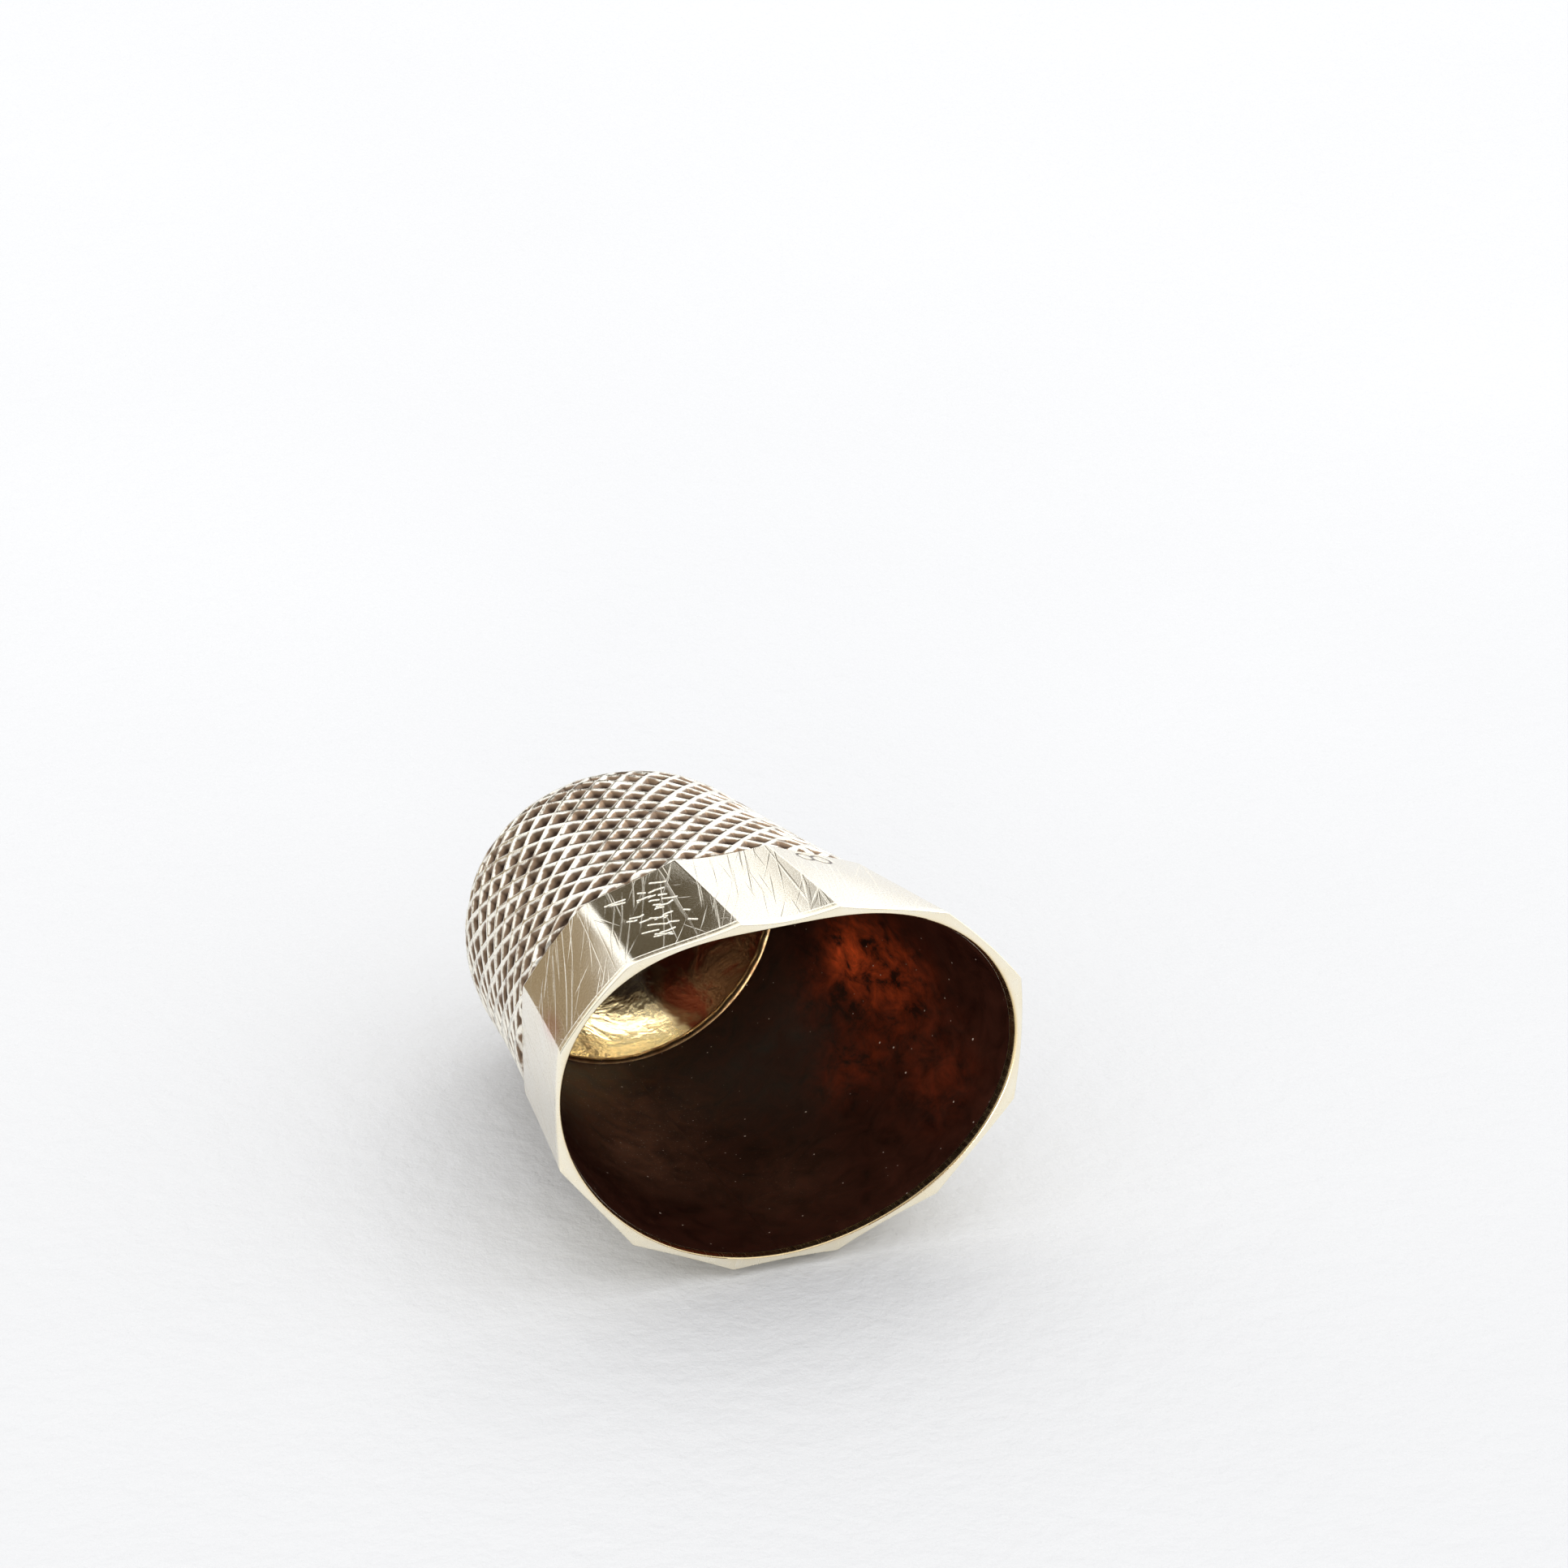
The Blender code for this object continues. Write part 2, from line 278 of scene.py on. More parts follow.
def skin(name, grid, materials, slots=None, poles=None, attributes=None, sharp=60):
    """Closed mesh over rows of points that go round the thimble, up outside and down inside.

    Without poles the last row joins the first. With poles the first and last rows close on a point.
    slots is the material number of each strip of faces between two rows.
    """
    rows, columns = grid.shape[:2]
    strips = rows if poles is None else rows - 1
    low = np.arange(strips)[:, None] * columns
    high = (np.arange(strips)[:, None] + 1) % rows * columns
    here, there = np.arange(columns)[None, :], (np.arange(columns)[None, :] + 1) % columns
    quads = np.stack([low + here, low + there, high + there, high + here], -1).reshape(-1, 4)
    points = grid.reshape(-1, 3)
    faces = quads.tolist()
    numbers = np.repeat(np.zeros(strips, int) if slots is None else np.asarray(slots)[:strips], columns)
    if poles is not None:
        points = np.concatenate([points, np.array(poles)])
        start, end, top = rows * columns, rows * columns + 1, (rows - 1) * columns
        faces += [[start, (i + 1) % columns, i] for i in range(columns)]
        faces += [[top + i, top + (i + 1) % columns, end] for i in range(columns)]
        numbers = np.concatenate([numbers, np.full(columns, numbers[0]), np.full(columns, numbers[-1])])
    mesh = bpy.data.meshes.new(name)
    mesh.from_pydata((points @ TURN.T + OFFSET).tolist(), [], faces)
    for material in materials:
        mesh.materials.append(material)
    mesh.polygons.foreach_set("material_index", numbers.astype(np.int32))
    for key, values in (attributes or {}).items():
        values = np.asarray(values, dtype=np.float32)
        vector = values.ndim == 3
        flat = values.reshape(-1, 3) if vector else values.reshape(-1)
        if poles is not None:
            flat = np.concatenate([flat, flat[:1], flat[-1:]])
        layer = mesh.attributes.new(key, "FLOAT_VECTOR" if vector else "FLOAT", "POINT")
        layer.data.foreach_set("vector" if vector else "value", flat.ravel())
    mesh.shade_smooth()
    mesh.set_sharp_from_angle(angle=math.radians(sharp))
    piece = bpy.data.objects.new(name, mesh)
    bpy.context.scene.collection.objects.link(piece)
    return piece


def surface_map(along, up):
    """Places on the unrolled surface, in millimetres: round the thimble and up it."""
    along, up = np.broadcast_arrays(along, up)
    return np.stack([along, up, np.zeros(along.shape)], axis=-1)


# ------------------------------------------------------------------ node materials

def add(tree, kind, inputs=None, **settings):
    """Outputs of a new node, whose sockets are set to values or linked to other nodes' outputs."""
    node = tree.nodes.new("ShaderNode" + kind)
    for key, value in settings.items():
        setattr(node, key, value)
    for key, value in (inputs or {}).items():
        if isinstance(value, bpy.types.NodeSocket):
            tree.links.new(value, node.inputs[key])
        else:
            node.inputs[key].default_value = value
    return node.outputs


def blank(name):
    """A new material, and its tree with an unlinked Principled shader."""
    material = bpy.data.materials.new(name)
    material.use_nodes = True
    return material, material.node_tree


def finished(material, colour, rough, normal, metallic=1.0, specular=0.5):
    """The material, with its Principled shader's inputs linked."""
    tree = material.node_tree
    shader = tree.nodes["Principled BSDF"].inputs
    tree.links.new(colour, shader["Base Color"])
    tree.links.new(rough, shader["Roughness"])
    tree.links.new(normal, shader["Normal"])
    shader["Metallic"].default_value = metallic
    shader["Specular IOR Level"].default_value = specular
    return material


def attribute(tree, name, output="Fac"):
    """A value stored on the mesh."""
    return add(tree, "Attribute", attribute_name=name)[output]


def math_node(tree, operation, a, b=0.0, clamp=False):
    """Result of an operation on two values."""
    return add(tree, "Math", {0: a, 1: b}, operation=operation, use_clamp=clamp)["Value"]


def vector_node(tree, operation, a, b, output="Vector"):
    """Result of an operation on two vectors."""
    return add(tree, "VectorMath", {0: a, 1: b}, operation=operation)[output]


def remap(tree, value, low, high, to_low=0.0, to_high=1.0, smooth=False):
    """Value carried from one range to another, held at the ends."""
    kind = "SMOOTHSTEP" if smooth else "LINEAR"
    return add(tree, "MapRange", {"Value": value, "From Min": low, "From Max": high,
                                  "To Min": to_low, "To Max": to_high},
               interpolation_type=kind, clamp=True)["Result"]


def mix_colour(tree, share, a, b):
    """Colour a where share is 0, colour b where it is 1. The numbers are the node's colour sockets."""
    return add(tree, "Mix", {0: share, 6: a, 7: b}, data_type="RGBA")[2]


def noise(tree, vector, scale, detail=2.0, roughness=0.5, distortion=0.0):
    """Noise value about 0.5."""
    return add(tree, "TexNoise", {"Vector": vector, "Scale": scale, "Detail": detail,
                                  "Roughness": roughness, "Distortion": distortion})["Fac"]


def hairlines(tree, surface, slant, spacing, length, width, cover, shift):
    """Long fine scratches at one slant over the unrolled surface: 1 on a scratch, 0 off it.

    Each line is where a stretched noise passes its middle value. A second noise breaks the lines up,
    so that they cover only a share of the surface.
    """
    soft = 0.03
    turned = add(tree, "VectorRotate", {"Vector": surface, "Angle": math.radians(slant)},
                 rotation_type="Z_AXIS")["Vector"]
    scaled = vector_node(tree, "MULTIPLY", turned, (1 / spacing, 1 / length, 0.0))
    moved = vector_node(tree, "ADD", scaled, (shift, shift * 1.7, shift * 0.3))
    off = math_node(tree, "SUBTRACT", noise(tree, moved, 1.0, detail=1.0), 0.5)
    line = remap(tree, math_node(tree, "ABSOLUTE", off), 0.0, width, 1.0, 0.0)
    broken = noise(tree, vector_node(tree, "ADD", moved, (5.3, 2.1, 7.7)), 1.7, detail=1.0)
    return math_node(tree, "MULTIPLY", line, remap(tree, broken, 1 - cover - soft, 1 - cover + soft))


def strongest(tree, values):
    """Largest of several values."""
    result = values[0]
    for value in values[1:]:
        result = math_node(tree, "MAXIMUM", result, value)
    return result


def bump(tree, height, distance, normal=None):
    """Normal bent by a height between 0 and 1 that stands for a distance in metres."""
    inputs = {"Height": height, "Distance": distance, "Strength": 1.0}
    if normal is not None:
        inputs["Normal"] = normal
    return add(tree, "Bump", inputs)["Normal"]


def band_material():
    """Polished pale gold with scratches, brownish grain, one red-brown stain and dark engraving."""
    material, tree = blank("band_gold")
    surface = attribute(tree, "surface", "Vector")
    engraved = attribute(tree, "engraved")
    pale, warm, brown = (0.95, 0.92, 0.82, 1), (0.93, 0.88, 0.75, 1), (0.60, 0.51, 0.37, 1)
    red, black = (0.62, 0.20, 0.18, 1), (0.08, 0.05, 0.035, 1)
    lines = strongest(tree, [hairlines(tree, surface, *scratches) for scratches in SCRATCHES])
    clouds = noise(tree, surface, 0.55, detail=4.0, roughness=0.6)
    pores = noise(tree, surface, 26.0, detail=2.0)
    grain = noise(tree, surface, 13.0, detail=3.0, roughness=0.7)
    stain = math_node(tree, "MULTIPLY", attribute(tree, "stain"), remap(tree, grain, 0.3, 0.6, 0.4, 1.0))
    colour = mix_colour(tree, remap(tree, clouds, 0.35, 0.7), pale, warm)
    colour = mix_colour(tree, remap(tree, grain, 0.44, 0.60, 0.0, 0.6), colour, brown)
    colour = mix_colour(tree, stain, colour, red)
    colour = mix_colour(tree, remap(tree, engraved, 0.15, 0.65, 0.0, 0.96), colour, black)
    rough = math_node(tree, "ADD", remap(tree, clouds, 0.3, 0.75, 0.09, 0.17),
                      math_node(tree, "MULTIPLY", lines, 0.16))
    rough = math_node(tree, "ADD", rough, math_node(tree, "MULTIPLY", engraved, 0.15))
    ground = bump(tree, pores, 0.0025 * MM)
    normal = bump(tree, math_node(tree, "SUBTRACT", 1.0, lines), 0.005 * MM, ground)
    return finished(material, colour, rough, normal)


def knurl_material():
    """Gold ridges worn bright over pits that hold brown tarnish, with painted shade that darkens them to
    nearly black at the bottom.
    """
    material, tree = blank("knurl_gold")
    surface = attribute(tree, "surface", "Vector")
    position = add(tree, "TexCoord")["Object"]
    bright, brown, black = (0.98, 0.94, 0.83, 1), (0.235, 0.158, 0.102, 1), (0.03, 0.017, 0.011, 1)
    tarnish_and_shade_noise = noise(tree, position, 900.0, detail=3.0, roughness=0.6)
    deep = math_node(tree, "ADD", attribute(tree, "depth"), remap(tree, tarnish_and_shade_noise, 0.3, 0.7, -0.16, 0.16))
    # Painted shade: the pits go from tarnish brown to nearly black as they deepen, with noise scattering
    # the tarnish and shade.
    colour = mix_colour(tree, remap(tree, deep, 0.11, 0.28, smooth=True), bright, brown)
    colour = mix_colour(tree, remap(tree, deep, 0.3, 0.7, 0.0, 0.95), colour, black)
    rough = remap(tree, deep, 0.0, 0.7, 0.2, 0.42)
    grain = noise(tree, surface, 14.0, detail=3.0)
    return finished(material, colour, rough, bump(tree, grain, 0.006 * MM))


def hollow_material():
    """Brown-black tarnish inside, painted darker still to stand for the shade in the hollow, with
    red-brown patches, a haze of dust and painted sheen, specks and bits of lint.
    """
    material, tree = blank("hollow_patina")
    surface = attribute(tree, "surface", "Vector")
    warm = attribute(tree, "warm")
    dust_and_sheen = attribute(tree, "dust_and_sheen")
    # Painted shade: black and brown are tarnish made darker still to stand for the shade inside the
    # hollow.
    black, brown, red = (0.013, 0.0038, 0.0024, 1), (0.045, 0.012, 0.0065, 1), (0.98, 0.12, 0.025, 1)
    haze_and_sheen_tone, speck_tone, lint_tone = (0.30, 0.13, 0.07, 1), (0.5, 0.42, 0.34, 1), (0.6, 0.5, 0.42, 1)
    patches = noise(tree, surface, 0.9, detail=5.0, roughness=0.65, distortion=0.6)
    stretched = vector_node(tree, "MULTIPLY", surface, (1.3, 0.8, 1.0))
    streaks = noise(tree, stretched, 0.9, detail=6.0, roughness=0.7, distortion=0.4)
    glow = math_node(tree, "MULTIPLY", warm, remap(tree, streaks, 0.38, 0.66))
    # Painted sheen: the haze lightens the wall where dust lies and where a sheen is painted.
    haze_and_sheen = math_node(tree, "MULTIPLY", dust_and_sheen, remap(tree, patches, 0.25, 0.7, 0.15, 1.0))
    specks = remap(tree, noise(tree, surface, 11.0, detail=1.0), 0.68, 0.74)
    lint = remap(tree, noise(tree, surface, 6.0, detail=0.0), 0.84, 0.88)
    colour = mix_colour(tree, remap(tree, patches, 0.3, 0.7), black, brown)
    colour = mix_colour(tree, glow, colour, red)
    colour = mix_colour(tree, math_node(tree, "MULTIPLY", haze_and_sheen, 0.8), colour, haze_and_sheen_tone)
    colour = mix_colour(tree, math_node(tree, "MULTIPLY", specks, dust_and_sheen), colour, speck_tone)
    colour = mix_colour(tree, lint, colour, lint_tone)
    rough = remap(tree, patches, 0.3, 0.7, 0.32, 0.5)
    return finished(material, colour, rough, bump(tree, patches, 0.02 * MM), metallic=0.12, specular=0.1)


def dome_material():
    """Bright gold inside the cap, with brown and red tarnish on one side."""
    material, tree = blank("dome_gold")
    position = add(tree, "TexCoord")["Object"]
    gold, brown, red = (1.0, 0.91, 0.68, 1), (0.15, 0.075, 0.04, 1), (0.14, 0.035, 0.018, 1)
    patches = noise(tree, position, 420.0, detail=4.0, roughness=0.6, distortion=0.5)
    fine = noise(tree, position, 2600.0, detail=3.0, roughness=0.6)
    dirty = math_node(tree, "ADD", attribute(tree, "tarnish"),
                      remap(tree, patches, 0.3, 0.7, -0.3, 0.3), clamp=True)
    dull = mix_colour(tree, remap(tree, patches, 0.48, 0.56), brown, red)
    colour = mix_colour(tree, remap(tree, dirty, 0.25, 0.75, smooth=True), gold, dull)
    rough = remap(tree, dirty, 0.2, 0.8, 0.20, 0.36)
    return finished(material, colour, rough, bump(tree, fine, 0.012 * MM, bump(tree, patches, 0.11 * MM)))


def rim_material():
    """Filed pale gold: faint file marks across the face, a warmer inner edge."""
    material, tree = blank("rim_gold")
    surface = attribute(tree, "surface", "Vector")
    pale, warm, golden = (0.99, 0.93, 0.77, 1), (0.97, 0.88, 0.67, 1), (0.85, 0.66, 0.36, 1)
    stretched = vector_node(tree, "MULTIPLY", surface, (9.0, 0.6, 1.0))
    marks = noise(tree, stretched, 1.0, detail=3.0, roughness=0.6)
    clouds = noise(tree, surface, 0.8, detail=3.0)
    colour = mix_colour(tree, remap(tree, clouds, 0.35, 0.7), pale, warm)
    colour = mix_colour(tree, attribute(tree, "inner"), colour, golden)
    rough = remap(tree, marks, 0.3, 0.7, 0.16, 0.3)
    return finished(material, colour, rough, bump(tree, marks, 0.004 * MM))


def solder_material():
    """Gold solder: browner than the sheet, with a dull uneven skin."""
    material, tree = blank("gold_solder")
    position = add(tree, "TexCoord")["Object"]
    golden, brown = (0.55, 0.38, 0.20, 1), (0.30, 0.16, 0.075, 1)
    lumps = noise(tree, position, 1500.0, detail=3.0)
    colour = mix_colour(tree, remap(tree, lumps, 0.35, 0.65), golden, brown)
    rough = remap(tree, lumps, 0.3, 0.7, 0.22, 0.42)
    return finished(material, colour, rough, bump(tree, lumps, 0.02 * MM))


def paper_material():
    """Matt white paper with a fine fibre grain, with painted shade that makes it a little darker in front
    than behind.
    """
    material, tree = blank("white_paper")
    position = add(tree, "TexCoord")["Object"]
    white, whiter, black = (0.72, 0.725, 0.735, 1), (0.735, 0.74, 0.75, 1), (0.0, 0.0, 0.0, 1)
    fibre = noise(tree, position, 700.0, detail=5.0, roughness=0.62)
    cloud = noise(tree, position, 30.0, detail=3.0)
    backwards = add(tree, "SeparateXYZ", {"Vector": position})["Y"]
    colour = mix_colour(tree, remap(tree, cloud, 0.3, 0.7), white, whiter)
    # Painted shade: the paper darkens by 7% in front, falling to 1.5% behind.
    colour = mix_colour(tree, remap(tree, backwards, -0.03, 0.05, 0.07, 0.015), colour, black)
    rough = remap(tree, fibre, 0.3, 0.7, 0.62, 0.8)
    return finished(material, colour, rough, bump(tree, fibre, 0.14 * MM), metallic=0.0, specular=0.15)


# ------------------------------------------------------------------ the knurled wall and cap


def knurl_share(column, row):
    """Share of the pit's depth at a place of the knurl: 0 on the ridges, 1 at a pit's bottom.

    The ridges of the two families lean opposite ways and are rounded by different amounts.
    """
    shares = []
    for lean, roundness in ((1, 0.08), (-1, 0.12)):
        across = (column + lean * (row - FIRST_ROW + 1)) / 2
        off = np.abs(across - np.round(across)) * 2
        shares.append((np.sqrt(off ** 2 + roundness ** 2) - roundness)
                      / (math.hypot(1, roundness) - roundness))
    a, b = shares
    soft = 0.10
    meet = np.maximum(soft - np.abs(a - b), 0) / soft
    return np.clip(np.minimum(a, b) - meet ** 2 * soft / 4, 0, None)


def facet_edge(angle):
    """Radius of the band's top edge at angles of the round thimble."""
    samples = 40
    place = np.arange(FACETS * samples) / samples
    radius, at = facet_grid(BAND_TOP_Z, place)
    return np.interp(angle, at[0], radius[0], period=math.tau)


def knurl_grid(rows, columns_each):
    """Points, pit shares that also set the tarnish and painted shade, angles and heights for rows of the
    knurl, with its ridges worn unevenly.
    """
    count = 2 * PITS_ROUND * columns_each
    column = np.arange(count)[None, :] / columns_each
    row = np.asarray(rows)[:, None]
    radius, height, normal_r, normal_z = row_place(row)
    angle = FIRST_CREST + math.pi * column / PITS_ROUND
    turns = angle / math.tau
    wear = 0.05 + 0.05 * ripple(turns, height, seed=11, size=0.6)
    wear = wear + 0.03 * ripple(turns, height, seed=12, size=0.2)
    share = np.maximum(knurl_share(column, row), wear)
    fade = np.clip((LAST_ROW - row) / TIP_FADE, 0, 1)
    deepest = FINE_PIT_DEPTH * np.minimum(1.0, radius / crest(SHOULDER_Z)) * fade
    dent = 0.012 * ripple(turns, height, seed=13, size=0.9)
    depth = deepest * share + dent
    cut_off = facet_edge(angle) - FOOT_STEP + FOOT_SLOPE * (height - BAND_TOP_Z)
    surface = np.minimum(radius - depth * normal_r, cut_off)
    points = squash(surface, angle, height - depth * normal_z)
    # The pit share also sets the tarnish and painted shade; the cut at the band's edge gets a little of
    # it.
    tarnish_and_shade = np.maximum(share * fade, (surface == cut_off) * FOOT_DARKENING)
    angle, height = np.broadcast_arrays(angle, height)
    return points, tarnish_and_shade, angle, height


def stack(*parts):
    """Grids put on top of each other."""
    return np.concatenate(parts, axis=0)


def at_all(values, places):
    """One value for each row, repeated at every place round the thimble."""
    return np.broadcast_to(values, (len(values), len(places)))


def spots(angle, height, patches):
    """Sum of soft round patches, held between 0 and 1."""
    total = 0.0
    for degrees, centre, size, strength in patches:
        off = ((angle - math.radians(degrees) + math.pi) % math.tau - math.pi) * WALL_MAP_RADIUS
        total = total + strength * np.exp(-(off ** 2 + (height - centre) ** 2) / size ** 2)
    return np.clip(total, 0, 1)


def knurled_wall_piece():
    """Tapered tube with the knurl cut into it, a smooth bore with tarnish and painted shade, and a thin
    skirt.
    """
    fine = 9
    rows = np.linspace(0.0, SEAM_ROW, int(SEAM_ROW) * fine + 1)
    outer, share, angle, height = knurl_grid(rows, fine)
    round_angle = angle[0]
    foot = RIM_THICKNESS + SOLDER
    levels = np.linspace(SEAM_Z, foot, 17)[:, None]
    uneven = 0.02 * ripple(round_angle / math.tau, levels, seed=21, size=1.0)
    uneven = uneven * np.clip((levels - foot) / 2, 0, 1) * np.clip((SEAM_Z - levels) / 2, 0, 1)
    inner = squash(bore(levels) + uneven, round_angle, levels)
    skirt_levels = np.linspace(foot, BAND_TOP_Z, 3)[:, None]
    skirt = squash(bore(skirt_levels) + SKIRT_SHEET, round_angle, skirt_levels)
    plain_levels = stack(levels, skirt_levels)
    all_height = stack(height, at_all(plain_levels, round_angle))
    all_angle = np.broadcast_to(round_angle, all_height.shape)
    plain = np.zeros((len(plain_levels), len(round_angle)))
    slots = [0] * len(rows) + [1] * (len(levels) - 1) + [0] * (len(skirt_levels) + 1)
    return skin("knurled_wall_fine", stack(outer, inner, skirt), [KNURL, HOLLOW], slots,
                attributes={"depth": stack(share, plain),
                            "warm": spots(all_angle, all_height, RED_PATCHES),
                            "dust_and_sheen": spots(all_angle, all_height, DUST_AND_SHEEN_PATCHES),
                            "surface": surface_map(WALL_MAP_RADIUS * all_angle, all_height)})


def knurled_cap_piece():
    """Domed top: the knurl closes up towards a small plain tip, and the inside is smooth."""
    fine = 7
    rows = np.arange(SEAM_ROW, LAST_ROW, 1 / fine)
    outer, share, angle, height = knurl_grid(rows, fine)
    round_angle = angle[0]
    tip_z = np.linspace(height[-1, 0], LENGTH, 9)[1:-1, None]
    tip = squash(crest(tip_z), round_angle, tip_z)
    inner_rows = np.linspace(LAST_ROW, SEAM_ROW + 0.6, 22)[:, None]
    radius, level, normal_r, normal_z = row_place(inner_rows)
    inner_z = level - SHEET * normal_z
    inner = squash(radius - SHEET * normal_r, round_angle, inner_z)
    edge_z = np.full((1, 1), SEAM_Z)
    edge = squash(bore(SEAM_Z), round_angle, edge_z)
    grid = stack(inner, edge, outer, tip)
    poles = (squash(0.0, 0.0, LENGTH - SHEET), squash(0.0, 0.0, LENGTH))
    plain_inside = np.zeros((len(inner_rows) + 1, len(round_angle)))
    depth = stack(plain_inside, share, np.zeros(tip.shape[:2]))
    all_height = stack(at_all(inner_z, round_angle), at_all(edge_z, round_angle), height,
                       at_all(tip_z, round_angle))
    all_angle = np.broadcast_to(round_angle, all_height.shape)
    slots = [1] * len(inner_rows) + [0] * (len(grid) - len(inner_rows))
    return skin("knurled_cap_fine", grid, [KNURL, DOME], slots, poles,
                {"depth": depth, "tarnish": spots(all_angle, all_height, DOME_TARNISH),
                 "surface": surface_map(CAP_MAP_RADIUS * all_angle, all_height)})


# ------------------------------------------------------------------ the faceted band and the rim


def facet_places(columns_of):
    """Places round the outline, in facets from corner 0, close together at the worn corners."""
    places = []
    for index in range(FACETS):
        start = CORNER_WORN.get(index, PLAIN_WORN) / FACET_WIDTH
        end = CORNER_WORN.get((index + 1) % FACETS, PLAIN_WORN) / FACET_WIDTH
        near = start * np.array([0, 0.33, 0.67, 1.0, 1.5])
        far = 1 - end * np.array([1.5, 1.0, 0.67, 0.33])
        middle = np.linspace(near[-1], far[0], columns_of(index) + 2)[1:-1]
        places.append(index + np.concatenate([near, middle, far]))
    return np.concatenate(places)


def corner_inset(place):
    """How far wear has taken the outline in at places near the corners, in millimetres."""
    inset = np.zeros_like(place)
    for index in range(FACETS):
        worn = CORNER_WORN.get(index, PLAIN_WORN)
        off = np.abs((place - index + FACETS / 2) % FACETS - FACETS / 2) * FACET_WIDTH
        radius = worn / math.tan(math.pi / FACETS)
        inset += np.maximum(worn - off, 0) ** 2 / (2 * radius)
    return inset


def facet_dents(place, height):
    """Slight unevenness of the facets, which runs on over the rim, in millimetres."""
    return 0.0015 * ripple(place / FACETS, height, seed=31, size=0.8)


def worn_edge(distance, depth, reach):
    """How far an edge is rounded off at a distance from it, in millimetres."""
    return depth * np.clip(1 - distance / reach, 0, 1) ** 2


def stroke(x, y, points, width):
    """1 on a line drawn through points, falling to 0 at its edges."""
    nearest = np.full(np.shape(x), np.inf)
    for (x0, y0), (x1, y1) in zip(points, points[1:]):
        dx, dy = x1 - x0, y1 - y0
        along = np.clip(((x - x0) * dx + (y - y0) * dy) / (dx * dx + dy * dy), 0, 1)
        nearest = np.minimum(nearest, np.hypot(x - x0 - along * dx, y - y0 - along * dy))
    return np.clip(1 - nearest / width, 0, 1)


def ring(x, y, centre_x, centre_y, half_x, half_y, width):
    """1 on an oval line, falling to 0 at its edges."""
    off = np.abs(np.hypot((x - centre_x) / half_x, (y - centre_y) / half_y) - 1) * min(half_x, half_y)
    return np.clip(1 - off / width, 0, 1)


def size_number(place, height):
    """Depth share of the size number: an 8 that lies along the facet, made of two rings."""
    along = (place - FIGURE_FACET) * FACET_WIDTH
    return np.maximum(*[ring(along, height, *oval, FIGURE_WIDTH) for oval in FIGURE_RINGS])


def worn_gouges(place, height):
    """Depth share of short bent gouges in no order, which stand for worn engraving."""
    along = (place - GOUGED_FACET) * FACET_WIDTH
    rng = np.random.default_rng(8)
    gouges = np.zeros(np.broadcast(place, height).shape)
    for number in range(GOUGES):
        at_x = rng.uniform(0.9, 3.2)
        at_y = 1.3 + 0.17 * number + rng.uniform(-0.2, 0.2)
        slant = math.radians(rng.normal(-22, 16))
        half = rng.uniform(0.08, 0.42)
        bend = rng.uniform(-0.12, 0.12)
        half_x, half_y = half * math.cos(slant), half * math.sin(slant)
        points = [(at_x - half_x, at_y - half_y), (at_x + bend, at_y - bend),
                  (at_x + half_x, at_y + half_y)]
        gouges = np.maximum(gouges, stroke(along, height, points, GOUGE_WIDTH))
    return gouges


def faceted_band_piece():
    """Twelve filed facets with worn corners, slight dents and engraving, round the skirt."""
    plain_columns, engraved_columns = 12, {GOUGED_FACET: 165, FIGURE_FACET: 50}
    place = facet_places(lambda index: engraved_columns.get(index, plain_columns))[None, :]
    low, high = RIM_THICKNESS + SOLDER / 2, BAND_TOP_Z
    levels = np.linspace(low, high, 216)[:, None]
    radius, angle = facet_grid(levels[:, 0], place[0])
    figure, gouges = size_number(place, levels), worn_gouges(place, levels)
    cut = FIGURE_DEPTH * figure + GOUGE_DEPTH * gouges
    edges = worn_edge(high - levels, 0.07, 0.16) + worn_edge(levels - low, 0.02, 0.07)
    outer_radius = radius - corner_inset(place) - cut - edges + facet_dents(place, levels)
    outer = squash(outer_radius, angle, levels)
    back = np.linspace(high, low, 4)[:, None]
    inner = squash(bore(back) + (SKIRT_SHEET + SOLDER), angle[0], back)
    off_x, off_y = (place - STAINED_CORNER) * FACET_WIDTH - 0.25, levels - 2.2
    stain = 0.6 * np.exp(-(off_x / 0.4) ** 2 - (off_y / 1.3) ** 2)
    bare = np.zeros(inner.shape[:2])
    return skin("faceted_band_fine", stack(outer, inner), [BAND], sharp=48,
                attributes={"engraved": stack(np.clip(figure + 0.2 * gouges, 0, 1), bare),
                            "stain": stack(stain, bare),
                            "surface": surface_map(place * FACET_WIDTH, stack(levels, back))})


def rim_ring_piece():
    """Flat filed ring across the mouth with broken edges and a few burrs inside."""
    place = facet_places(lambda index: 24)
    angle = facet_grid(0.0, place)[1][0]
    inset, dents = corner_inset(place), facet_dents(place, 0.0)
    burr = 0.008 * ripple(place / FACETS, 0.0, seed=41, size=0.12)
    burr = burr * np.clip(ripple(place / FACETS, 0.0, seed=42, size=0.5), 0, 1)

    def outline(height, cut):
        """Outer radius of the ring, cut back at an edge."""
        return facet_grid(height, place)[0][0] - inset - cut + dents

    outside = [squash(outline(z, cut), angle, z) for z, cut in OUTER_PROFILE]
    inside = [squash(bore(z) + opened + burr * share, angle, z) for z, opened, share in INNER_PROFILE]
    face_in = bore(0.0) + FACE_OPENING + burr * FACE_BURR
    face_out = outline(0.0, FACE_CUT)
    face = [squash(face_in + (face_out - face_in) * share, angle, 0.0) for share in (0.2, 0.5, 0.8)]
    grid = np.stack(outside + inside + face)
    golden = np.array([0.0] * len(outside) + [1.0] * 4 + [0.4, 0.1, 0.0, 0.0])[:, None]
    girth = np.linspace(0, RIM_GIRTH, len(grid))[:, None]
    return skin("rim_ring_fine", grid, [RIM], sharp=40,
                attributes={"inner": at_all(golden, place),
                            "surface": surface_map(place * FACET_WIDTH, girth)})


